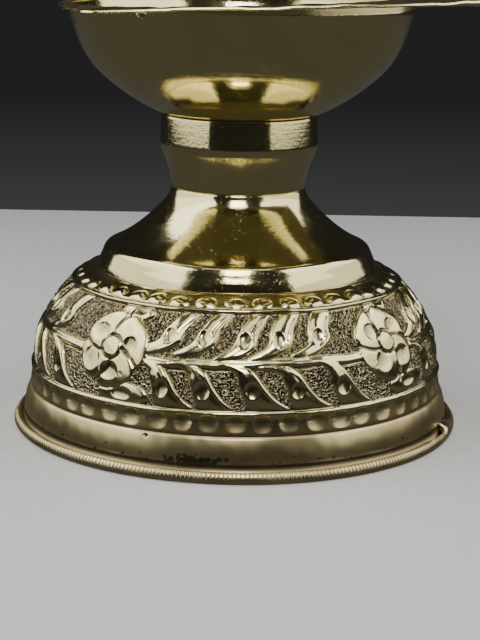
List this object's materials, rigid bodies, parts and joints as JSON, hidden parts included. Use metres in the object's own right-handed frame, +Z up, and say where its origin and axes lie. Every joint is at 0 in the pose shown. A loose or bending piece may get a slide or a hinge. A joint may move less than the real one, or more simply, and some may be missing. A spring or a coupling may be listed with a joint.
{
  "type": "diya oil lamp",
  "caption": "Pedestal brass diya: embossed domed foot, flared bell, turned collar and a round bowl under a leaf-shaped rim with a wick channel.",
  "frame": {"origin": "centre of the flat underside of the foot, on the lamp's axis", "axes": "+Z up the lamp's axis, +X towards the leaf rim's tip, where the wick lies"},
  "size_m": [0.1087, 0.09, 0.0872],
  "materials": {
    "polished_brass": "polished, faint turning lines",
    "embossed_brass": "polished relief over a darkened stippled ground",
    "foot_brass": "polished, slightly tarnished, ticked edge",
    "plain_brass": "as machined"
  },
  "bodies": {
    "stand": {"base_plate": "foot_brass", "drum": "embossed_brass", "bell": "polished_brass", "collar": "polished_brass", "tie_stud": "plain_brass", "clamp_nuts": "plain_brass", "clamp_washers": "plain_brass"},
    "seat": {"seat_washer": "plain_brass"},
    "lamp_top": {"bowl": "polished_brass", "leaf_rim": "polished_brass", "bowl_socket": "plain_brass"}
  },
  "joints": [
    {"name": "bowl_turn", "type": "hinge", "parent": "stand", "child": "seat", "pos_m": [0, 0, 0.0547], "axis": [0, 0, 1], "range_deg": [0, 1710]},
    {"name": "bowl_lift", "type": "slide", "parent": "seat", "child": "lamp_top", "axis": [0, 0, 1], "range_m": [0, 0.00475]}
  ],
  "couplings": [
    {"joint": "bowl_lift", "follows": "bowl_turn", "m_per_rad": 0.00015915}
  ]
}
